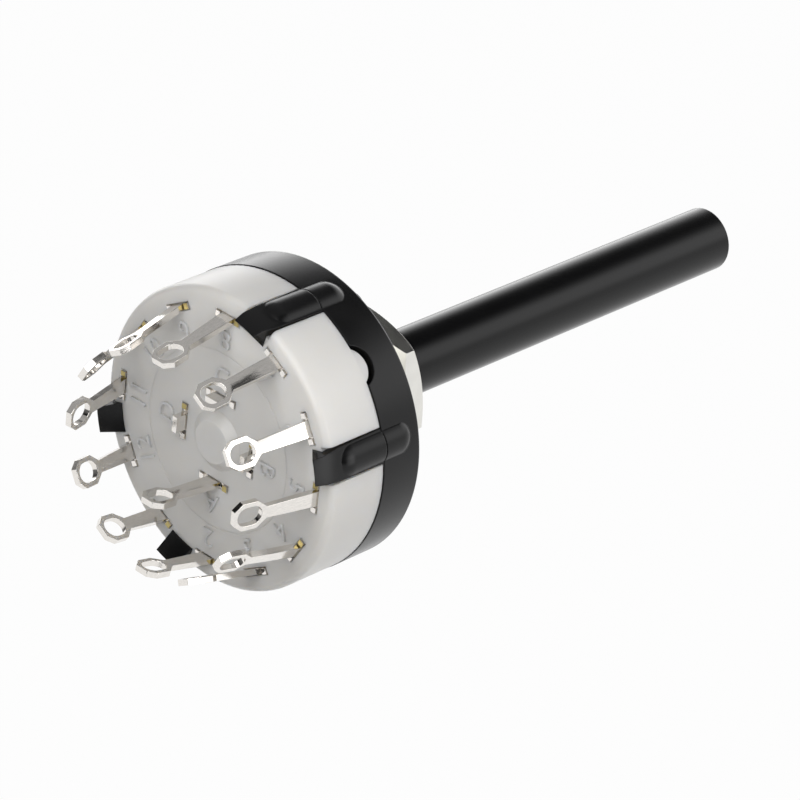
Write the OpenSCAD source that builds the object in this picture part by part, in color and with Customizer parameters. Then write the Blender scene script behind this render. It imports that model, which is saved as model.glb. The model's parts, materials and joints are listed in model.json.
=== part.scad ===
// Rotary switch for a panel: one pole and twelve positions, with a long plain spindle.
// Everything is drawn with the spindle pointing along +Z, its mounting face at zero and
// terminal 8 towards +Y. Each node is then laid over, so that the spindle points along -Y.

/* [Body] */
// Radius of the moulded body
body_r = 13.5; // [13.3:0.1:14]
// Length of the front housing's ring
ring_len = 4.32; // [4.2:0.02:4.6]
// Rear face of the base behind the mounting face
body_len = 10.4; // [10.3:0.1:11]
// Radius of the base's rear edge
rear_round = 0.6; // [0.3:0.1:1]
// Number of positions
positions = 12; // [12]

/* [Bush] */
// Radius of the plain register at the foot of the bush
register_r = 5; // [5:0.05:5.2]
// Length of the plain register
register_len = 1.6; // [1.2:0.1:1.8]
// Outside radius of the thread
thread_r = 4.95; // [4.9:0.01:4.95]
// Pitch of the thread
thread_pitch = 0.75; // [0.75:0.05:1]
// Length of the bush
bush_len = 9.5; // [9:0.1:10]

/* [Spindle] */
// Radius of the spindle
spindle_r = 3; // [2.95:0.01:3]
// Free end of the spindle in front of the mounting face
spindle_end = 53; // [30:1:80]
// Radial clearance of the spindle in its bearings
bearing_gap = 0.05; // [0.02:0.01:0.08]

/* [Nut] */
// Distance across the nut's flats
nut_flats = 12; // [12:0.5:14]
// Thickness of the nut
nut_len = 2; // [2:0.1:2.4]
// Rear face of the nut in front of the mounting face
nut_seat = 6.1; // [0.1:0.1:7]

/* [Terminals] */
// Thickness of the terminal sheet
sheet = 0.55; // [0.4:0.05:0.6]
// Radius on which the twelve position terminals leave the base
terminal_ring_r = 11.57; // [11.4:0.01:11.6]
// Radius on which the pole terminals leave the base
pole_ring_r = 4.05; // [4:0.05:4.2]
// Distance of the solder eye from the root of its tag
eye_len = 6.52; // [5:0.02:7]
// Inward lean of the position terminals
terminal_lean = 12.1; // [0:0.1:14]
// Inward lean of the pole terminal
pole_lean = 5.8; // [-6:0.1:8]

/* [Clips] */
// Width of a clip leg where it leaves the ring
clip_w = 3.08; // [2.9:0.02:3.2]
// Width of a clip leg at its hook
hook_w = 2.26; // [2:0.02:2.8]
// Height of the rib on a clip leg above the body
rib_rise = 0.5; // [0.3:0.05:0.7]

/* [Hidden] */
$fn = 96;
touch = 0.02;
over = 1;
step_angle = 360 / positions;

// The terminals' places are numbered clockwise as seen from the front
function place(step) = 330 - step_angle * step;

clip_steps = [1.5, 5.5, 7.5, 11.5];
notch_steps = [0.5, 6.5];
pole_steps = [2, 5, 8, 11];
peg_step = 7.45;

// Front housing
front_wall = 3;
ring_edge_round = 0.3;
recess_depth = 0.8;
recess_in_r = 5.6;
recess_r = 9.4;
channel_in_r = 5.6;
channel_out_r = 7;
channel_floor = -2;
index_top = -3.1;
index_end = -6.2;
index_out_r = 11.85;
index_crest_r = 9.8;
index_valley_r = 10.6;
index_notch_r = 1.9;
notch_r = 1.87;
notch_z = -4.87;
slot_r = 6.3;
slot_w = 1.5;
slot_t = 0.9;

// Bush
undercut_end = 2.2;
undercut_r = 4.6;
thread_end = 9;
thread_depth = 0.4;
thread_flat = 0.09;
bush_tip_r = 4.55;
bore_r = spindle_r + bearing_gap;

// Locating peg
peg_r = 1.2;
peg_len = 1.6;
peg_ring_r = 10.85;
peg_chamfer = 0.2;

// Clip legs
leg_in_r = 12.75;
leg_shoulder_w = 2.84;
leg_shoulder_z = -9.6;
leg_end = -11.1;
hook_in_r = 11.6;
hook_gap = 0.05;
hook_top = -body_len - hook_gap;
hook_tip_r = 13.12;
hook_end = -12;
rib_half_w = 1.3;
rib_r = (rib_half_w * rib_half_w + rib_rise * rib_rise) / (2 * rib_rise);
rib_centre_r = body_r + rib_rise - rib_r;
rib_front = -1.1;
rib_rear = -9.25;
rib_root = 0.3;
seam_gap = 0.12;
clip_line_depth = 0.12;

// Base
base_r = 13.45;
base_in_r = 12.05;
base_floor = -9;
seam_in_r = 13.1;
tab_r = 1.8;
tab_z = -5.35;
tab_inset = 0.1;
groove_floor_r = 12.6;
groove_w = 3.25;
witness_r = 8.2;
witness_w = 0.12;
witness_depth = 0.04;
boss_foot_r = 2.75;
boss_top_r = 1.9;
boss_len = 0.7;
pivot_boss_r = 2.9;
pivot_boss_top = -8.2;
pivot_gap = 0.1;
pivot_hole_end = -10.3;
slot_gap = 0.1;

// Terminals
terminal_w = 2.7;
pole_w = 3.3;
ear_w = 0.5;
ear_len = 0.12;
strip_end = 0.15;
tag_lap = 0.3;
foot_in_r = 8.7;
stem_root_w = 1.45;
stem_neck_w = 1.08;
neck_len = 4.87;
head_w = 2.54;
head_len = 2.96;
head_flat_w = 1.3;
head_flat_len = 1.45;
eye_w = 1.72;
eye_span = 2.35;
root_z = -10.3;
pole_eye_len = 6.35;
stub_len = 1.1;
stub_w = 1.5;
ring_lap = 0.9;
ring_in_r = 5.2;
ring_out_r = 7.2;
feet_top = base_floor + sheet;

// Rotor
hub_r = 9;
hub_top = -front_wall - bearing_gap;
hub_end = -6.3;
groove_z = [8.9, 9.6];
spindle_groove_r = 2.8;
spindle_chamfer = 0.4;
pivot_r = 1.6;
pivot_end = -10.2;
stop_lug_angle = 8.8;
stop_lug_place = 75;
stop_lug_r = [5.75, 6.85];
stop_lug_top = -2.1;
rotor_lap = 0.2;
stop_tab_w = 1.2;
stop_tab_t = 0.7;
stop_tab_end = -2.85;
stop_ring_t = 0.75;
stop_ring_gap = 0.1;
ball_r = 1.25;
ball_gap = 0.05;
ball_rest_r = 8.5;
ball_z = -4.6;
ball_bore_end = 4;
coil_wire = 0.3;
coil_r = 0.95;
coil_turns = 5;
spring_gap = 0.03;

// Nut
nut_bore_chamfer = 0.25;
nut_turn = 15;

// Moving contact
guide_w = 3.8;
guide_r = [4.8, 11.2];
guide_z = [-8.35, -6.35];
pocket_r = [5.2, 10.8];
pocket_w = 2.5;
pocket_top = -7.6;
blade_r = [5.3, 10.7];
blade_w = 2.4;
blade_z = [-8.4, -8.1];
blade_dome_r = 0.8;
blade_dome_z = feet_top - 0.03;
blade_dome_places = [6.2, 9.9];
contact_place = place(1);
press_r = 8;
press_bore_r = 1.2;
press_coil_r = 0.9;
press_wire = 0.25;
press_turns = 3;
press_top = -6;

// Lays the drawing over, so that its +Z becomes -Y and its +Y becomes +Z
module as_mounted() {
    rotate([90, 0, 0]) children();
}

module at_step(step) {
    rotate([0, 0, place(step)]) children();
}

// A box given by its two ends along each of its three directions
module block(x, y, z) {
    translate([x[0], y[0], z[0]]) cube([x[1] - x[0], y[1] - y[0], z[1] - z[0]]);
}

module tube(outer, inner, z) {
    difference() {
        translate([0, 0, z[0]]) cylinder(r = outer, h = z[1] - z[0]);
        translate([0, 0, z[0] - over]) cylinder(r = inner, h = z[1] - z[0] + 2 * over);
    }
}

// A round bar pointing outwards from the axis, at height z
module radial_bar(r, z, from, to) {
    translate([from, 0, z]) rotate([0, 90, 0]) cylinder(r = r, h = to - from);
}

// Front housing

// Outline of the ring and front wall, from the bush bore outwards
module ring_section() {
    difference() {
        union() {
            translate([bore_r, -front_wall]) square([body_r - bore_r - ring_edge_round, front_wall]);
            translate([index_crest_r, -ring_len])
                square([body_r - index_crest_r, ring_len - ring_edge_round]);
            translate([body_r - ring_edge_round, -ring_edge_round]) circle(r = ring_edge_round);
        }
        translate([recess_in_r, -recess_depth]) square([recess_r - recess_in_r, recess_depth + over]);
        translate([channel_in_r, -front_wall - over])
            square([channel_out_r - channel_in_r, front_wall + over + channel_floor]);
    }
}

// Outline of the bush, with a V for each turn of the thread
module bush_section() {
    turns = floor((thread_end - undercut_end) / thread_pitch);
    v_half = thread_pitch / 2 - thread_flat;
    v_points = [for (i = [0 : turns - 1]) let (mid = undercut_end + (i + 0.5) * thread_pitch)
        each [[thread_r, mid - v_half], [thread_r - thread_depth, mid], [thread_r, mid + v_half]]];
    polygon(concat(
        [[bore_r, -front_wall], [register_r, -front_wall], [register_r, register_len],
         [undercut_r, register_len], [undercut_r, undercut_end], [thread_r, undercut_end]],
        v_points,
        [[thread_r, thread_end], [bush_tip_r, bush_len], [bore_r, bush_len]]));
}

// The toothed skirt that the two balls click round in
module index_skirt() {
    difference() {
        tube(index_out_r, index_crest_r, [index_end, -ring_len + touch]);
        index_notches();
    }
}

module index_notches() {
    for (i = [0 : positions - 1])
        rotate([0, 0, i * step_angle])
            translate([index_valley_r - index_notch_r, 0, index_end - over])
                cylinder(r = index_notch_r, h = index_top - index_end + over);
}

// What lies inside a leg's two sides
module between_sides() {
    side = [
        [hook_w / 2, -body_len - 2 * over], [hook_w / 2, hook_end],
        [leg_shoulder_w / 2, leg_shoulder_z], [clip_w / 2, -ring_len + over]];
    translate([body_r - 2 * over, 0, 0]) rotate([90, 0, 90]) linear_extrude(4 * over)
        polygon(concat(
            side,
            [for (i = [len(side) - 1 : -1 : 0]) [-side[i][0], side[i][1]]]));
}

// A leg that tapers towards the rear, with a hook that catches on the base's rear face
module clip_leg() {
    leg_outline = [
        [leg_in_r, -ring_len + touch], [leg_in_r, hook_top], [hook_in_r, hook_top],
        [hook_tip_r, hook_end], [body_r, leg_end], [body_r, -ring_len + touch]];
    intersection() {
        rotate_extrude() polygon(leg_outline);
        between_sides();
    }
}

// The raised rib that runs from the ring on to the leg
module clip_rib() {
    rib_z = [rib_rear + rib_half_w, rib_front - rib_half_w];
    intersection() {
        union() {
            translate([rib_centre_r, 0, rib_z[0]]) cylinder(r = rib_r, h = rib_z[1] - rib_z[0]);
            for (z = rib_z) translate([rib_centre_r, 0, z]) sphere(r = rib_r);
        }
        block([leg_in_r + rib_root, body_r + over], [-rib_half_w, rib_half_w],
            [rib_rear - over, rib_front + over]);
    }
}

// The fine line across leg and rib that carries on the seam between ring and base
module clip_line() {
    z = [-ring_len - seam_gap, -ring_len];
    difference() {
        tube(body_r + over, body_r - clip_line_depth, z);
        translate([rib_centre_r, 0, z[0] - over])
            cylinder(r = rib_r - clip_line_depth, h = seam_gap + 2 * over);
    }
}

module locating_peg() {
    at_step(peg_step) translate([peg_ring_r, 0, -touch]) {
        cylinder(r = peg_r, h = peg_len - peg_chamfer + touch);
        translate([0, 0, peg_len - peg_chamfer + touch])
            cylinder(r1 = peg_r, r2 = peg_r - peg_chamfer, h = peg_chamfer);
    }
}

module housing() {
    color([0.07, 0.07, 0.08]) as_mounted() {
        difference() {
            union() {
                rotate_extrude() ring_section();
                rotate_extrude() bush_section();
                index_skirt();
            }
            index_notches();
            for (s = notch_steps) at_step(s) radial_bar(notch_r, notch_z, index_out_r, body_r + over);
            for (i = [0 : positions - 1])
                rotate([0, 0, i * step_angle])
                    block([slot_r - slot_t / 2, slot_r + slot_t / 2], [-slot_w / 2, slot_w / 2],
                        [channel_floor - touch, -recess_depth + touch]);
        }
        for (s = clip_steps) at_step(s) difference() {
            union() {
                clip_leg();
                clip_rib();
            }
            clip_line();
        }
        locating_peg();
    }
}

// Base

// Half-round tongue that stands over the rim and fills a notch of the ring
module rim_tongue() {
    intersection() {
        radial_bar(tab_r, tab_z, base_in_r - over, base_r + over);
        translate([0, 0, -body_len + rear_round]) cylinder(r = base_r - tab_inset, h = body_len);
    }
}

module base_shell() {
    wall_z = -body_len + rear_round;
    difference() {
        union() {
            translate([0, 0, -body_len]) cylinder(r = base_r - rear_round, h = rear_round + touch);
            translate([0, 0, wall_z]) cylinder(r = base_r, h = -ring_len - seam_gap - wall_z);
            rotate_extrude() translate([base_r - rear_round, wall_z]) circle(r = rear_round);
            translate([0, 0, wall_z]) cylinder(r = seam_in_r, h = -ring_len - wall_z);
            for (s = notch_steps) at_step(s) rim_tongue();
            translate([0, 0, -body_len - boss_len])
                cylinder(r1 = boss_top_r, r2 = boss_foot_r, h = boss_len + touch);
        }
        translate([0, 0, base_floor]) cylinder(r = base_in_r, h = -base_floor);
        tube(witness_r + witness_w / 2, witness_r - witness_w / 2,
            [-body_len - over, -body_len + witness_depth]);
    }
}

module terminal_slot(ring_r, w) {
    half_t = sheet / 2 + slot_gap;
    block([ring_r - half_t, ring_r + half_t], [-w / 2 - slot_gap, w / 2 + slot_gap],
        [-body_len - over, base_floor + over]);
}

module base() {
    color([0.86, 0.86, 0.83]) as_mounted()
        difference() {
            union() {
                base_shell();
                translate([0, 0, base_floor - touch])
                    cylinder(r = pivot_boss_r, h = pivot_boss_top - base_floor + touch);
            }
            translate([0, 0, pivot_hole_end])
                cylinder(r = pivot_r + bearing_gap, h = pivot_boss_top - pivot_hole_end + over);
            for (s = clip_steps) at_step(s) intersection() {
                block([base_in_r, body_r + over], [-groove_w / 2, groove_w / 2],
                    [-body_len - 2 * over, -ring_len + 2 * over]);
                tube(body_r + over, groove_floor_r, [-body_len - over, -ring_len + over]);
            }
            for (s = [1 : positions]) at_step(s) terminal_slot(terminal_ring_r, terminal_w);
            for (s = pole_steps) at_step(s) terminal_slot(pole_ring_r, pole_w);
        }
}

// Terminals, drawn on the +X side and turned to their places

// Flat outline of a solder tag: root at zero, eye along +Y
module tag_outline(eye) {
    neck = eye - (eye_len - neck_len);
    difference() {
        polygon([
            [-stem_root_w / 2, -tag_lap], [stem_root_w / 2, -tag_lap], [stem_neck_w / 2, neck],
            [head_w / 2, eye - head_flat_len / 2], [head_w / 2, eye + head_flat_len / 2],
            [head_flat_w / 2, eye + head_len / 2], [-head_flat_w / 2, eye + head_len / 2],
            [-head_w / 2, eye + head_flat_len / 2], [-head_w / 2, eye - head_flat_len / 2],
            [-stem_neck_w / 2, neck]]);
        translate([0, eye]) eye_outline();
    }
}

module eye_outline() {
    centre = (eye_span - eye_w) / 2;
    square([eye_w, 2 * centre], center = true);
    for (s = [-1, 1]) translate([0, s * centre]) circle(d = eye_w);
}

// A tag standing behind the base, leaning towards the axis
module solder_tag(ring_r, eye, lean) {
    translate([ring_r, 0, root_z])
        rotate([0, lean, 0])
            rotate([-90, 0, 90])
                translate([0, 0, -sheet / 2]) linear_extrude(sheet) tag_outline(eye);
}

// The upright strip through the base, with an ear at each end that shows in its slot
module tag_root(ring_r, w) {
    x = [ring_r - sheet / 2, ring_r + sheet / 2];
    block(x, [-w / 2, w / 2], [-body_len + strip_end, base_floor]);
    for (s = [0, 1]) mirror([0, s, 0])
        block(x, [w / 2 - ear_w, w / 2], [-body_len - ear_len, -body_len + strip_end + touch]);
}

// The corner where the flat foot turns down; the outside of the bend is towards side
module tag_bend(ring_r, side, w) {
    intersection() {
        translate([ring_r - side * sheet / 2, w / 2, base_floor])
            rotate([90, 0, 0]) cylinder(r = sheet, h = w);
        block([ring_r - sheet / 2, ring_r + sheet / 2], [-w, w], [base_floor, feet_top]);
    }
}

module terminal(step) {
    color([0.78, 0.77, 0.74]) as_mounted() at_step(step) {
        block([foot_in_r, terminal_ring_r - sheet / 2], [-terminal_w / 2, terminal_w / 2],
            [base_floor, feet_top]);
        tag_bend(terminal_ring_r, 1, terminal_w);
        tag_root(terminal_ring_r, terminal_w);
        solder_tag(terminal_ring_r, eye_len, terminal_lean);
    }
}

// The pole's collector: a flat ring with four legs, of which three are cut short
module common_ring() {
    color([0.78, 0.77, 0.74]) as_mounted() {
        tube(ring_out_r, ring_in_r, [base_floor, feet_top]);
        for (s = pole_steps) at_step(s) {
            block([pole_ring_r + sheet / 2, ring_in_r + ring_lap], [-pole_w / 2, pole_w / 2],
                [base_floor, feet_top]);
            tag_bend(pole_ring_r, -1, pole_w);
            tag_root(pole_ring_r, pole_w);
        }
        at_step(pole_steps[0]) solder_tag(pole_ring_r, pole_eye_len, pole_lean);
        for (i = [1 : len(pole_steps) - 1]) at_step(pole_steps[i])
            block([pole_ring_r - sheet / 2, pole_ring_r + sheet / 2], [-stub_w / 2, stub_w / 2],
                [-body_len - stub_len, -body_len + strip_end + touch]);
    }
}

// Spindle and rotor

module stop_lug() {
    rotate([0, 0, stop_lug_place - stop_lug_angle])
        rotate_extrude(angle = 2 * stop_lug_angle)
            translate([stop_lug_r[0], hub_top - rotor_lap])
                square([stop_lug_r[1] - stop_lug_r[0], stop_lug_top - hub_top + rotor_lap]);
}

module shaft() {
    translate([0, 0, hub_top - touch]) cylinder(r = spindle_r, h = groove_z[0] - hub_top + touch);
    translate([0, 0, groove_z[0] - touch])
        cylinder(r = spindle_groove_r, h = groove_z[1] - groove_z[0] + 2 * touch);
    translate([0, 0, groove_z[1]])
        cylinder(r = spindle_r, h = spindle_end - spindle_chamfer - groove_z[1]);
    translate([0, 0, spindle_end - spindle_chamfer])
        cylinder(r1 = spindle_r, r2 = spindle_r - spindle_chamfer, h = spindle_chamfer);
}

// The guide under the hub that carries the moving contact round
module contact_guide() {
    rotate([0, 0, contact_place]) difference() {
        union() {
            block([guide_r[0], hub_r - rotor_lap], [-guide_w / 2, guide_w / 2],
                [guide_z[0], hub_end + rotor_lap]);
            block([guide_r[0], guide_r[1]], [-guide_w / 2, guide_w / 2], guide_z);
        }
        block(pocket_r, [-pocket_w / 2, pocket_w / 2], [guide_z[0] - over, pocket_top]);
    }
}

module spindle() {
    color([0.06, 0.06, 0.07]) as_mounted()
        difference() {
            union() {
                shaft();
                translate([0, 0, hub_end]) cylinder(r = hub_r, h = hub_top - hub_end);
                translate([0, 0, pivot_boss_top + pivot_gap])
                    cylinder(r = spindle_r, h = hub_end - pivot_boss_top);
                translate([0, 0, pivot_end]) cylinder(r = pivot_r, h = hub_end - pivot_end);
                stop_lug();
                contact_guide();
            }
            for (s = [0, 180]) rotate([0, 0, s])
                radial_bar(ball_r + ball_gap, ball_z, ball_bore_end, hub_r + over);
            rotate([0, 0, contact_place]) translate([press_r, 0, pocket_top - touch])
                cylinder(r = press_bore_r, h = press_top - pocket_top + touch);
        }
}

// Balls, springs and the moving contact

module detent_ball(side) {
    color([0.75, 0.76, 0.78]) as_mounted()
        rotate([0, 0, side]) translate([ball_rest_r, 0, ball_z]) sphere(r = ball_r);
}

// A coil along +Z from zero, its wire swept as a polyhedron with closed ends
module coil(r, wire, turns, len) {
    per_turn = 10;
    sides = 6;
    rings = turns * per_turn;
    rise = len - wire;
    points = [for (i = [0 : rings]) for (j = [0 : sides - 1])
        let (a = 360 * i / per_turn, b = 360 * j / sides, out = r + wire / 2 * cos(b))
        [out * cos(a), out * sin(a), wire / 2 + rise * i / rings + wire / 2 * sin(b)]];
    walls = [for (i = [0 : rings - 1]) for (j = [0 : sides - 1])
        let (k = (j + 1) % sides)
        each [[i * sides + j, (i + 1) * sides + j, (i + 1) * sides + k],
              [i * sides + j, (i + 1) * sides + k, i * sides + k]]];
    first_cap = [for (j = [0 : sides - 1]) j];
    last_cap = [for (j = [sides - 1 : -1 : 0]) rings * sides + j];
    polyhedron(points, concat(walls, [first_cap, last_cap]));
}

module detent_spring(side) {
    color([0.7, 0.71, 0.72]) as_mounted() rotate([0, 0, side])
        translate([ball_bore_end + spring_gap, 0, ball_z]) rotate([0, 90, 0])
            coil(coil_r, coil_wire, coil_turns,
                ball_rest_r - ball_r - ball_bore_end - 2 * spring_gap);
}

module contact_blade() {
    color([0.8, 0.72, 0.5]) as_mounted() rotate([0, 0, contact_place]) {
        block(blade_r, [-blade_w / 2, blade_w / 2], blade_z);
        for (r = blade_dome_places)
            intersection() {
                translate([r, 0, blade_dome_z + blade_dome_r]) sphere(r = blade_dome_r);
                block([r - over, r + over], [-over, over], [blade_dome_z - over, blade_z[0] + touch]);
            }
    }
}

module contact_spring() {
    color([0.7, 0.71, 0.72]) as_mounted() rotate([0, 0, contact_place])
        translate([press_r, 0, blade_z[1] + spring_gap])
            coil(press_coil_r, press_wire, press_turns, press_top - blade_z[1] - 2 * spring_gap);
}

// Stop ring and nut

module stop_ring() {
    color([0.7, 0.7, 0.68]) as_mounted() {
        tube(recess_r - stop_ring_gap, recess_in_r + stop_ring_gap,
            [-recess_depth, -recess_depth + stop_ring_t]);
        rotate([0, 0, 90])
            block([slot_r - stop_tab_t / 2, slot_r + stop_tab_t / 2],
                [-stop_tab_w / 2, stop_tab_w / 2], [stop_tab_end, -recess_depth + touch]);
    }
}

module hex_nut() {
    corner_r = nut_flats / 2 / cos(30);
    bore = register_r + bearing_gap;
    cut = (corner_r - nut_flats / 2) * tan(30);
    color([0.72, 0.73, 0.72]) as_mounted() translate([0, 0, nut_seat])
        difference() {
            intersection() {
                rotate([0, 0, nut_turn]) cylinder(r = corner_r, h = nut_len, $fn = 6);
                rotate_extrude() polygon([[0, 0], [nut_flats / 2, 0], [corner_r, cut],
                    [corner_r, nut_len - cut], [nut_flats / 2, nut_len], [0, nut_len]]);
            }
            translate([0, 0, -over]) cylinder(r = bore, h = nut_len + 2 * over);
            translate([0, 0, -touch])
                cylinder(r1 = bore + nut_bore_chamfer, r2 = bore, h = nut_bore_chamfer);
            translate([0, 0, nut_len - nut_bore_chamfer + touch])
                cylinder(r1 = bore, r2 = bore + nut_bore_chamfer, h = nut_bore_chamfer);
        }
}

housing();
base();
terminal(1);  // terminal_1
terminal(2);  // terminal_2
terminal(3);  // terminal_3
terminal(4);  // terminal_4
terminal(5);  // terminal_5
terminal(6);  // terminal_6
terminal(7);  // terminal_7
terminal(8);  // terminal_8
terminal(9);  // terminal_9
terminal(10);  // terminal_10
terminal(11);  // terminal_11
terminal(12);  // terminal_12
common_ring();
spindle();
detent_ball(0);  // detent_ball_1
detent_ball(180);  // detent_ball_2
detent_spring(0);  // detent_spring_1
detent_spring(180);  // detent_spring_2
contact_blade();
contact_spring();
stop_ring();
hex_nut();
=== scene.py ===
import json
import math

import bpy
from bpy.props import FloatProperty, FloatVectorProperty, PointerProperty
from mathutils import Matrix, Quaternion, Vector


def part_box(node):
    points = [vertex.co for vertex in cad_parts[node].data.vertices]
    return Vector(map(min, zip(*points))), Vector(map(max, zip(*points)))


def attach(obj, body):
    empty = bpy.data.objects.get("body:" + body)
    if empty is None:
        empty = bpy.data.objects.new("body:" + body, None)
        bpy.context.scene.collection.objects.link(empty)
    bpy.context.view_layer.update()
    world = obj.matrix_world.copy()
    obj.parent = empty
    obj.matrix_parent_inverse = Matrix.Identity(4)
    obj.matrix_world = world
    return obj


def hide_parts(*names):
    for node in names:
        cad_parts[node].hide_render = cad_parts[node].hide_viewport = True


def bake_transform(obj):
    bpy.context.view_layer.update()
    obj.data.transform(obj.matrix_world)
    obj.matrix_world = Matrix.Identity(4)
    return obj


bl_info = {
    "name": "Panel Rotary Switch",
    "version": (1, 0, 0),
    "blender": (4, 5, 0),
    "location": "3D View > Sidebar > Rotary Switch",
    "description": "Finishes, raised markings and studio of a panel rotary switch",
    "category": "Object",
}

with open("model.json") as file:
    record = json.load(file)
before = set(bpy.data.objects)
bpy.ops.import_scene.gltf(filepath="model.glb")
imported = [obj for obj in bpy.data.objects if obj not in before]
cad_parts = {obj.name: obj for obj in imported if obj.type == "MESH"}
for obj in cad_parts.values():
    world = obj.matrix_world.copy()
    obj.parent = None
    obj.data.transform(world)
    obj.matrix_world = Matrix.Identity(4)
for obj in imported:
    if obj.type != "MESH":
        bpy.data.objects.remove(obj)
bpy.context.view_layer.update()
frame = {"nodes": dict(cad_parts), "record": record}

# Layout of the switch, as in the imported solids

MM = 0.001
POSITIONS = 12
ZERO_DEGREES = 330
POLE_STEPS = (2, 5, 8, 11)
POLE_LETTERS = "ABCD"
TERMINALS = [f"terminal_{step}" for step in range(1, POSITIONS + 1)]
BOSS_LEN = 0.7 * MM
REAR_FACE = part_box("base")[1].y - BOSS_LEN
TAG_W = 2.7 * MM
POLE_W = 3.3 * MM
EAR_W = 0.55 * MM
# Moving body of each coil spring, and the way to it from the spring's fixed end
SPRINGS = {
    "detent_spring_1": ("ball_1", (1, 0, 0)),
    "detent_spring_2": ("ball_2", (-1, 0, 0)),
    "contact_spring": ("blade", (0, 1, 0)),
}

# Detail added to the solids

# Position of each ear that shows bare brass, and its side: 1 towards the next lower number
BARE_EARS = {1: -1, 2: -1, 4: -1, 5: -1, 8: 1, 9: 1, 10: 1, 11: 1}
BARE_POLE_EARS = {2: -1, 5: -1, 11: 1}
# The bare strip's ends, below and above the rear face
STRIP_END = 0.2 * MM
STRIP_TOP = 0.25 * MM
WELD = 0.002 * MM
FLAT_ANGLE = math.radians(0.6)
BEVEL_ANGLE = math.radians(28)
BEVEL_SEGMENTS = 2
SMOOTH_ANGLE = math.radians(30)
SOFT_SMOOTH_ANGLE = math.radians(32)
# Height of a capital as a share of the font's size
CAPITAL_SHARE = 0.7
# How much each side of a stroke is thinned, as a share of the number's height
STROKE_THINNING = 0.02
MARK_EDGE = 0.03 * MM

# Look and studio

DULL_SPECULAR = 0.28
EDGE_SAMPLES = 6
FLOOR_SIDE = 1.2
FLOOR_GLOW = 0.97
SENSOR_WIDTH = 36
CLIP_START = 0.01
# Name, place in metres, side in metres and power in watts of each lamp
LAMPS = (
    ("near_softbox", (-0.018, 0.05, 0.034), 0.05, 0.0235),
    ("key_softbox", (-0.42, -0.05, 0.04), 0.3, 0.42),
    ("top_softbox", (0.07, 0.0, 0.33), 0.5, 0.3),
)
# Span of a unit direction's coordinate, and the room's strength at the two ends of the span
CEILING = ((0.4, 0.72), (1.7, 0.05))
HORIZON = ((-0.3, 0.5), (0.55, 1.5))
RISE = ((0.05, 0.35), (0.0, 1.0))
BEHIND = ((-0.25, 0.25), (1.0, 0.06))
# How far the ceiling's edge drops towards +X
CEILING_TILT = 0.22


def place(step):
    """The angle of a position from +X towards +Z. Seen from the front, numbers run clockwise."""
    return math.radians(ZERO_DEGREES - 360 / POSITIONS * step)


def outwards(angle):
    """The direction away from the spindle's axis at an angle."""
    return Vector((math.cos(angle), 0, math.sin(angle)))


def colour(name, about, default):
    """A colour setting, as linear red, green and blue."""
    return FloatVectorProperty(
        name=name, description=about, default=default, subtype="COLOR", size=3, min=0, max=1
    )


def length(name, about, default):
    """A length setting in metres."""
    return FloatProperty(
        name=name, description=about, default=default, unit="LENGTH", precision=5, min=0
    )


def share(name, about, default):
    """A setting from 0 to 1."""
    return FloatProperty(
        name=name, description=about, default=default, subtype="FACTOR", min=0, max=1
    )


class SwitchFinish(bpy.types.PropertyGroup):
    """Colours and gloss of the switch's materials"""

    black: colour("Black moulding", "Housing with bush and clips", (0.0035, 0.0035, 0.0038))
    black_rough: share("Black roughness", "Roughness of the black moulding", 0.22)
    shaft: colour("Spindle", "Moulded spindle", (0.0025, 0.0025, 0.0028))
    shaft_rough: share("Spindle roughness", "Roughness of the spindle", 0.17)
    white: colour("White moulding", "Base that holds the terminals", (0.7, 0.685, 0.66))
    white_rough: share("White roughness", "Roughness of the white moulding", 0.3)
    tin: colour("Tin plate", "Plated terminals", (0.83, 0.8, 0.76))
    tin_rough: share("Tin roughness", "Roughness of the tin plate", 0.07)
    brass: colour("Bare brass", "Sheared edges where the plate is cut", (0.5, 0.41, 0.17))
    nickel: colour("Nickel", "Hex nut and stop ring", (0.78, 0.77, 0.73))
    nickel_rough: share("Nickel roughness", "Roughness of the nickel plate", 0.13)
    steel: colour("Steel", "Balls and coil springs", (0.6, 0.61, 0.62))
    mould_edge: length("Moulded edge", "Rounding of the mouldings' edges", 0.12 * MM)


class SwitchSizes(bpy.types.PropertyGroup):
    """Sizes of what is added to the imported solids"""

    sheet_edge: length("Sheet edge", "Rounding of the stamped terminals' edges", 0.05 * MM)
    nut_edge: length("Nut edge", "Rounding of the nut's edges", 0.06 * MM)
    number_height: length("Number height", "Height of the raised numbers", 1.8 * MM)
    number_ring: length("Number ring", "Radius of the ring of numbers", 9.4 * MM)
    letter_ring: length("Letter ring", "Radius of the ring of letters", 5.95 * MM)
    relief: length("Relief", "How far the markings stand proud", 0.2 * MM)


class SwitchStage(bpy.types.PropertyGroup):
    """Camera, floor and light"""

    azimuth: FloatProperty(
        name="Azimuth", description="Direction of the camera", default=math.radians(220.961),
        subtype="ANGLE")
    elevation: FloatProperty(
        name="Elevation", description="Height of the camera", default=math.radians(29.130),
        subtype="ANGLE")
    roll: FloatProperty(
        name="Roll", description="Turn of the camera about its own axis",
        default=math.radians(6.412), subtype="ANGLE")
    distance: length("Distance", "Camera to the point it looks at", 345.278 * MM)
    aim: FloatVectorProperty(
        name="Aim", description="Point the camera looks at", subtype="TRANSLATION", size=3,
        default=(-5.6033 * MM, -5.6383 * MM, 1.0489 * MM), precision=5)
    lens: FloatProperty(
        name="Lens", description="Focal length in millimetres on a 36 mm frame", default=182.987)
    floor_drop: length("Floor drop", "Floor below the switch's axis", 110 * MM)
    floor: colour("Floor", "Pale floor", (0.86, 0.86, 0.86))


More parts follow.
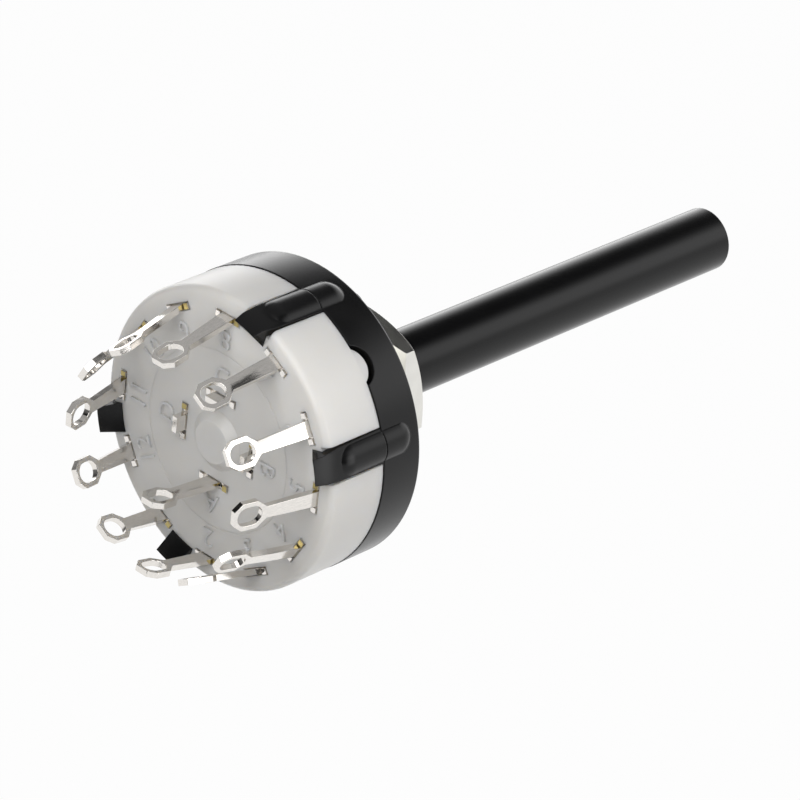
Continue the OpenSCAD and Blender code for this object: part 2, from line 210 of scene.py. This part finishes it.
class Wire:
    """A node's output, on which Python's own operators add Math nodes."""

    def __init__(self, shader, socket):
        self.shader = shader
        self.socket = socket

    def math(self, operation, *values):
        """Adds a Math node."""
        return self.shader.node(
            "ShaderNodeMath", {"operation": operation}, dict(enumerate(values)))

    def __add__(self, other):
        return self.math("ADD", self, other)

    def __sub__(self, other):
        return self.math("SUBTRACT", self, other)

    def __rsub__(self, other):
        return self.math("SUBTRACT", other, self)

    def __mul__(self, other):
        return self.math("MULTIPLY", self, other)

    __radd__ = __add__
    __rmul__ = __mul__


class Shader:
    """Builds the node tree of a material or of the world."""

    def __init__(self, owner):
        owner.use_nodes = True
        self.owner = owner
        self.tree = owner.node_tree
        self.tree.nodes.clear()

    def node(self, kind, settings=None, sockets=None, output=0):
        """Adds a node, sets its settings and then its sockets, and returns one output."""
        made = self.tree.nodes.new(kind)
        for key, value in (settings or {}).items():
            setattr(made, key, value)
        for key, value in (sockets or {}).items():
            if isinstance(value, Wire):
                self.tree.links.new(value.socket, made.inputs[key])
            else:
                made.inputs[key].default_value = value
        return Wire(self, made.outputs[output])

    def finish(self, surface):
        """Joins the surface to the output and returns the material or the world."""
        is_world = isinstance(self.owner, bpy.types.World)
        kind = "ShaderNodeOutputWorld" if is_world else "ShaderNodeOutputMaterial"
        end = self.tree.nodes.new(kind)
        self.tree.links.new(surface.socket, end.inputs["Surface"])
        return self.owner

    def spot(self):
        """Object coordinates in metres."""
        return self.node("ShaderNodeTexCoord", output="Object")

    def noise(self, spot, scale, detail, rough):
        """Noise from 0 to 1."""
        return self.node(
            "ShaderNodeTexNoise", {"noise_dimensions": "3D"},
            {"Vector": spot, "Scale": scale, "Detail": detail, "Roughness": rough}, "Fac")

    def grain(self, size, detail=3, rough=0.5):
        """Noise about size across, in metres, from 0 to 1."""
        return self.noise(self.spot(), 1 / size, detail, rough)

    def ease(self, value, span, reach):
        """Goes smoothly from one strength to another as a value crosses a span."""
        return self.node(
            "ShaderNodeMapRange", {"interpolation_type": "SMOOTHSTEP"},
            {"Value": value, "From Min": span[0], "From Max": span[1],
             "To Min": reach[0], "To Max": reach[1]})

    def blend(self, factor, low, high):
        """Mixes two colours."""
        return self.node(
            "ShaderNodeMix", {"data_type": "RGBA", "clamp_factor": True},
            {"Factor": factor, 6: low, 7: high}, 2)

    def streaks(self, size, stretch, detail=3, rough=0.5):
        """Noise like grain, drawn out along the spindle's axis."""
        drawn = self.node(
            "ShaderNodeMapping", {"vector_type": "POINT"},
            {"Vector": self.spot(), "Scale": (1 / size, 1 / size / stretch, 1 / size)})
        return self.noise(drawn, 1.0, detail, rough)

    def bump(self, height, depth, strength=1.0, edge=0):
        """Relief of a given depth in metres, over edges rounded to a radius of edge."""
        sockets = {"Height": height, "Distance": depth, "Strength": strength}
        if edge:
            sockets["Normal"] = self.node(
                "ShaderNodeBevel", {"samples": EDGE_SAMPLES}, {"Radius": edge})
        return self.node("ShaderNodeBump", {}, sockets)

    def skin(self, **sockets):
        """A Principled surface. Names are written with _ for a space."""
        named = {key.replace("_", " "): value for key, value in sockets.items()}
        return self.node("ShaderNodeBsdfPrincipled", {}, named)


def shade(rgb, factor):
    """A colour made lighter or darker, with its alpha."""
    return (*(min(1, c * factor) for c in rgb), 1)


def new_material(name):
    """An empty material."""
    return bpy.data.materials.new(name)


# Materials

def black_moulding(look):
    shader = Shader(new_material("black_moulding"))
    cloud = shader.grain(size=2.5 * MM, detail=2)
    fine = shader.grain(size=0.09 * MM, detail=4, rough=0.6)
    return shader.finish(shader.skin(
        Base_Color=shader.blend(cloud, shade(look.black, 0.85), shade(look.black, 1.2)),
        Roughness=look.black_rough - 0.05 + 0.08 * cloud + 0.05 * fine,
        Specular_IOR_Level=DULL_SPECULAR,
        Normal=shader.bump(fine, depth=0.006 * MM, strength=0.35, edge=look.mould_edge)))


def spindle_plastic(look):
    shader = Shader(new_material("spindle_plastic"))
    cloud = shader.grain(size=4 * MM, detail=2)
    fine = shader.grain(size=0.12 * MM, detail=3, rough=0.55)
    return shader.finish(shader.skin(
        Base_Color=shader.blend(cloud, shade(look.shaft, 0.8), shade(look.shaft, 1.25)),
        Roughness=look.shaft_rough - 0.03 + 0.05 * cloud + 0.03 * fine,
        Specular_IOR_Level=DULL_SPECULAR,
        Normal=shader.bump(fine, depth=0.004 * MM, strength=0.2, edge=look.mould_edge)))


def white_moulding(look):
    shader = Shader(new_material("white_moulding"))
    cloud = shader.grain(size=5 * MM, detail=3)
    fine = shader.grain(size=0.11 * MM, detail=3, rough=0.55)
    return shader.finish(shader.skin(
        Base_Color=shader.blend(cloud, shade(look.white, 0.97), shade(look.white, 1.02)),
        Roughness=look.white_rough - 0.04 + 0.06 * cloud + 0.03 * fine,
        Subsurface_Weight=0.6, Subsurface_Radius=(1, 0.9, 0.75), Subsurface_Scale=2.2 * MM,
        Normal=shader.bump(fine, depth=0.004 * MM, strength=0.25, edge=look.mould_edge)))


def tin_plate(look):
    shader = Shader(new_material("tin_plate"))
    cloud = shader.grain(size=0.9 * MM, detail=2)
    wave = shader.grain(size=1.6 * MM, detail=1)
    drawn = shader.streaks(size=0.12 * MM, stretch=8, detail=4, rough=0.65)
    fine = shader.grain(size=0.05 * MM, detail=3, rough=0.6)
    return shader.finish(shader.skin(
        Base_Color=shader.blend(drawn, shade(look.tin, 0.82), shade(look.tin, 1.12)),
        Metallic=1.0,
        Roughness=look.tin_rough - 0.03 + 0.07 * cloud + 0.06 * drawn,
        Normal=shader.bump(
            wave + 0.12 * drawn + 0.05 * fine, depth=0.05 * MM, strength=0.55)))


def bare_brass(look):
    shader = Shader(new_material("bare_brass"))
    tear = shader.grain(size=0.12 * MM, detail=4, rough=0.7)
    return shader.finish(shader.skin(
        Base_Color=shader.blend(tear, shade(look.brass, 0.55), shade(look.brass, 1.25)),
        Metallic=1.0,
        Roughness=0.25 + 0.25 * tear,
        Normal=shader.bump(tear, depth=0.03 * MM, strength=0.8)))


def nickel_plate(look):
    shader = Shader(new_material("nickel_plate"))
    cloud = shader.grain(size=1.2 * MM, detail=2)
    fine = shader.grain(size=0.06 * MM, detail=4, rough=0.6)
    return shader.finish(shader.skin(
        Base_Color=shader.blend(cloud, shade(look.nickel, 0.93), shade(look.nickel, 1.05)),
        Metallic=1.0,
        Roughness=look.nickel_rough - 0.04 + 0.08 * cloud + 0.05 * fine,
        Normal=shader.bump(fine, depth=0.006 * MM, strength=0.3)))


def polished_steel(look):
    shader = Shader(new_material("polished_steel"))
    fine = shader.grain(size=0.08 * MM, detail=3, rough=0.6)
    return shader.finish(shader.skin(
        Base_Color=shader.blend(fine, shade(look.steel, 0.95), shade(look.steel, 1.05)),
        Metallic=1.0,
        Roughness=0.16 + 0.08 * fine,
        Normal=shader.bump(fine, depth=0.003 * MM, strength=0.3)))


MATERIALS = {
    "bare_brass": bare_brass,
    "black_plastic": black_moulding,
    "black_shaft": spindle_plastic,
    "white_plastic": white_moulding,
    "plated_brass": tin_plate,
    "contact_metal": tin_plate,
    "nickel": nickel_plate,
    "steel": polished_steel,
}


def material_of(slot, look):
    """The material of a record's slot, made when first asked for."""
    maker = MATERIALS[slot]
    return bpy.data.materials.get(maker.__name__) or maker(look)


def slot_of(node):
    """The record's slot for a node."""
    for part in frame["record"]["subparts"]:
        if part["node"] == node:
            return part["material_slot"]
    raise RuntimeError(f"{node} has no subpart entry")


# Modelling helpers

def deselect():
    """Clears the selection."""
    bpy.ops.object.select_all(action="DESELECT")


def choose(piece):
    """Makes one piece the selected and active object."""
    deselect()
    piece.select_set(True)
    bpy.context.view_layer.objects.active = piece


def set_material(piece, material):
    """Gives a piece one material in place of those that it has."""
    piece.data.materials.clear()
    piece.data.materials.append(material)


def apply_bevel(piece, width):
    """Rounds a piece's sharp edges in its mesh."""
    choose(piece)
    bevel = piece.modifiers.new("soft edges", "BEVEL")
    bevel.width = width
    bevel.segments = BEVEL_SEGMENTS
    bevel.limit_method = "ANGLE"
    bevel.angle_limit = BEVEL_ANGLE
    bevel.miter_outer = "MITER_ARC"
    bevel.use_clamp_overlap = True
    bpy.ops.object.modifier_apply(modifier=bevel.name)


def joined(node, name, flatten=False):
    """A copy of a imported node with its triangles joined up, and its flat faces made whole."""
    piece = bpy.data.objects.new(name, frame["nodes"][node].data.copy())
    bpy.context.scene.collection.objects.link(piece)
    choose(piece)
    bpy.ops.mesh.customdata_custom_splitnormals_clear()
    bpy.ops.object.mode_set(mode="EDIT")
    bpy.ops.mesh.select_all(action="SELECT")
    bpy.ops.mesh.remove_doubles(threshold=WELD)
    if flatten:
        bpy.ops.mesh.dissolve_limited(angle_limit=FLAT_ANGLE)
    bpy.ops.object.mode_set(mode="OBJECT")
    bpy.ops.object.shade_smooth_by_angle(angle=SMOOTH_ANGLE)
    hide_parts(node)
    return piece


def softened(node, name, width):
    """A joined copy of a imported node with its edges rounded."""
    piece = joined(node, name, flatten=True)
    apply_bevel(piece, width)
    bpy.ops.object.shade_smooth_by_angle(angle=SOFT_SMOOTH_ANGLE)
    return piece


class MakeStep(bpy.types.Operator):
    """One step of dressing the switch"""

    bl_options = {"REGISTER", "UNDO"}

    def execute(self, context):
        self.make(context.scene.switch_finish, context.scene.switch_sizes)
        return {"FINISHED"}


class FinishSolids(MakeStep):
    """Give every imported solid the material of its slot"""

    bl_idname = "rotary_switch.finish_solids"
    bl_label = "Finish Solids"

    def make(self, look, sizes):
        for name, solid in frame["nodes"].items():
            set_material(solid, material_of(slot_of(name), look))


class SoftenMouldings(MakeStep):
    """Join up the housing, the base and the spindle, whose materials shade their edges round"""

    bl_idname = "rotary_switch.soften_mouldings"
    bl_label = "Soften Mouldings"

    def make(self, look, sizes):
        for node, body in (("housing", "body"), ("base", "body"), ("spindle", "rotor")):
            piece = joined(node, f"{node}_moulding")
            set_material(piece, material_of(slot_of(node), look))
            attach(piece, body)


class StampTerminals(MakeStep):
    """Round the edges of the stamped terminals and bare the brass on their ears"""

    bl_idname = "rotary_switch.stamp_terminals"
    bl_label = "Stamp Terminals"

    def make(self, look, sizes):
        for node in TERMINALS + ["common_ring"]:
            piece = softened(node, f"{node}_stamping", sizes.sheet_edge)
            set_material(piece, material_of(slot_of(node), look))
            piece.data.materials.append(material_of("bare_brass", look))
            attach(piece, "body")
        for step, side in BARE_EARS.items():
            self.bare_ear(f"terminal_{step}_stamping", step, side, TAG_W / 2)
        for step, side in BARE_POLE_EARS.items():
            self.bare_ear("common_ring_stamping", step, side, POLE_W / 2)

    def bare_ear(self, name, step, side, half_w):
        """Bares the sheared faces of one ear."""
        across = outwards(place(step) + math.pi / 2)
        out = outwards(place(step))
        for face in bpy.data.objects[name].data.polygons:
            at = face.center
            ear = half_w - EAR_W < side * at.dot(across) < half_w + EAR_W
            if ear and at.dot(out) > 0 and -STRIP_END < at.y - REAR_FACE < STRIP_TOP:
                face.material_index = 1


class SeatSprings(MakeStep):
    """Join up each coil spring's triangles and give it polished steel"""

    bl_idname = "rotary_switch.seat_springs"
    bl_label = "Seat Springs"

    def make(self, look, sizes):
        for node, (body, way) in SPRINGS.items():
            piece = joined(node, f"{node}_coil")
            set_material(piece, material_of("steel", look))
            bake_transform(piece)


class DressNut(MakeStep):
    """Round the nut's edges"""

    bl_idname = "rotary_switch.dress_nut"
    bl_label = "Dress Nut"

    def make(self, look, sizes):
        piece = softened("hex_nut", "hex_nut_turned", sizes.nut_edge)
        set_material(piece, material_of("nickel", look))
        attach(piece, "nut")


class MarkPositions(MakeStep):
    """Raise the position numbers and the pole letters on the rear face"""

    bl_idname = "rotary_switch.mark_positions"
    bl_label = "Mark Positions"

    def mark(self, text, name, angle, ring, look, sizes):
        """Stands a marking on the rear face with its top away from the spindle's axis."""
        deselect()
        bpy.ops.object.text_add()
        piece = bpy.context.object
        piece.name = name
        piece.data.body = text
        piece.data.align_x = "CENTER"
        piece.data.align_y = "CENTER"
        piece.data.size = sizes.number_height / CAPITAL_SHARE
        piece.data.extrude = sizes.relief
        piece.data.offset = -STROKE_THINNING * sizes.number_height
        piece.data.bevel_depth = MARK_EDGE
        bpy.ops.object.convert(target="MESH")
        bpy.ops.object.mode_set(mode="EDIT")
        bpy.ops.mesh.select_all(action="SELECT")
        bpy.ops.mesh.remove_doubles(threshold=WELD)
        bpy.ops.object.mode_set(mode="OBJECT")
        up = outwards(angle)
        out = Vector((0, 1, 0))
        right = up.cross(out)
        turn = Matrix((right, up, out)).transposed().to_4x4()
        spot = ring * up + REAR_FACE * out
        piece.data.transform(Matrix.Translation(spot) @ turn)
        piece.matrix_world = Matrix.Identity(4)
        set_material(piece, material_of("white_plastic", look))
        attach(piece, "body")

    def make(self, look, sizes):
        for step in range(1, POSITIONS + 1):
            self.mark(str(step), f"number_{step}", place(step), sizes.number_ring, look, sizes)
        for letter, step in zip(POLE_LETTERS, POLE_STEPS):
            self.mark(letter, f"letter_{letter}", place(step), sizes.letter_ring, look, sizes)


class SetStage(bpy.types.Operator):
    """Lay the floor, set the light and place the camera"""

    bl_idname = "rotary_switch.set_stage"
    bl_label = "Set Stage"
    bl_options = {"REGISTER", "UNDO"}

    def execute(self, context):
        stage = context.scene.switch_stage
        context.scene.view_settings.view_transform = "Standard"
        self.lay_floor(stage)
        self.light_world(context.scene)
        self.hang_lamps()
        self.place_camera(context.scene, stage)
        return {"FINISHED"}

    def lay_floor(self, stage):
        """A pale floor that looks white and keeps some of the switch's shadow."""
        deselect()
        bpy.ops.mesh.primitive_plane_add(size=FLOOR_SIDE, location=(0, 0, -stage.floor_drop))
        floor = bpy.context.object
        floor.name = "floor"
        shader = Shader(new_material("pale_floor"))
        seen = shader.node("ShaderNodeLightPath", output="Is Camera Ray")
        mirrored = shader.node("ShaderNodeLightPath", output="Is Glossy Ray")
        rays = seen + mirrored
        matt = shader.node("ShaderNodeBsdfDiffuse", {}, {"Color": shade(stage.floor, 1)})
        glow = shader.node("ShaderNodeEmission", {}, {"Color": (1, 1, 1, 1), "Strength": 1.0})
        surface = shader.node(
            "ShaderNodeMixShader", {}, {0: FLOOR_GLOW * rays, 1: matt, 2: glow})
        set_material(floor, shader.finish(surface))

    def light_world(self, scene):
        """A bright band above the horizon, a dark ceiling, and a dim side behind the switch."""
        world = bpy.data.worlds.new("studio")
        shader = Shader(world)
        direction = shader.node("ShaderNodeTexCoord", output="Generated")
        across, behind, height = (
            shader.node("ShaderNodeSeparateXYZ", {}, {0: direction}, axis) for axis in "XYZ")
        ceiling = shader.ease(height + CEILING_TILT * across, *CEILING)
        horizon = shader.ease(across, *HORIZON)
        rise = shader.ease(height, *RISE)
        dim = shader.ease(behind, *BEHIND)
        room = ceiling * dim * (horizon + rise * (1 - horizon))
        camera = shader.node("ShaderNodeLightPath", output="Is Camera Ray")
        strength = camera + room * (1 - camera)
        scene.world = shader.finish(shader.node(
            "ShaderNodeBackground", {}, {"Color": (1, 1, 1, 1), "Strength": strength}))

    def hang_lamps(self):
        """Square lamps that face the switch and don't show themselves."""
        for name, spot, size, power in LAMPS:
            data = bpy.data.lights.new(name, "AREA")
            data.shape = "SQUARE"
            data.size = size
            data.energy = power
            lamp = bpy.data.objects.new(name, data)
            lamp.visible_camera = False
            lamp.location = spot
            lamp.rotation_mode = "QUATERNION"
            lamp.rotation_quaternion = (-Vector(spot)).to_track_quat("-Z", "Y")
            bpy.context.scene.collection.objects.link(lamp)

    def place_camera(self, scene, stage):
        """A camera at the angle of the photo."""
        level = math.cos(stage.elevation)
        back = Vector((
            math.sin(stage.azimuth) * level,
            -math.cos(stage.azimuth) * level,
            math.sin(stage.elevation)))
        data = bpy.data.cameras.new("camera")
        data.sensor_width = SENSOR_WIDTH
        data.lens = stage.lens
        data.clip_start = CLIP_START
        camera = bpy.data.objects.new("camera", data)
        camera.rotation_mode = "QUATERNION"
        camera.location = Vector(stage.aim) + stage.distance * back
        look = (-back).to_track_quat("-Z", "Y")
        camera.rotation_quaternion = look @ Quaternion((0, 0, 1), stage.roll)
        scene.collection.objects.link(camera)
        scene.camera = camera


STEPS = (
    FinishSolids, SoftenMouldings, StampTerminals, SeatSprings, DressNut, MarkPositions,
    SetStage,
)


class SwitchPanel(bpy.types.Panel):
    """Sidebar panel that lists the steps and their settings"""

    bl_idname = "VIEW3D_PT_rotary_switch"
    bl_label = "Rotary Switch"
    bl_space_type = "VIEW_3D"
    bl_region_type = "UI"
    bl_category = "Rotary Switch"

    def draw(self, context):
        for step in STEPS:
            self.layout.operator(step.bl_idname)
        scene = context.scene
        for group in (scene.switch_finish, scene.switch_sizes, scene.switch_stage):
            box = self.layout.box()
            for key in group.bl_rna.properties.keys():
                if key not in ("rna_type", "name"):
                    box.prop(group, key)


CLASSES = (SwitchFinish, SwitchSizes, SwitchStage, *STEPS, SwitchPanel)


def register():
    """Adds the add-on's classes and settings."""
    for each in CLASSES:
        bpy.utils.register_class(each)
    bpy.types.Scene.switch_finish = PointerProperty(type=SwitchFinish)
    bpy.types.Scene.switch_sizes = PointerProperty(type=SwitchSizes)
    bpy.types.Scene.switch_stage = PointerProperty(type=SwitchStage)


def unregister():
    """Takes the add-on's classes and settings away."""
    del bpy.types.Scene.switch_stage
    del bpy.types.Scene.switch_sizes
    del bpy.types.Scene.switch_finish
    for each in reversed(CLASSES):
        bpy.utils.unregister_class(each)


def main():
    """Runs every step in order."""
    register()
    bpy.ops.rotary_switch.finish_solids()
    bpy.ops.rotary_switch.soften_mouldings()
    bpy.ops.rotary_switch.stamp_terminals()
    bpy.ops.rotary_switch.seat_springs()
    bpy.ops.rotary_switch.dress_nut()
    bpy.ops.rotary_switch.mark_positions()
    bpy.ops.rotary_switch.set_stage()


if __name__ == "__main__":
    main()
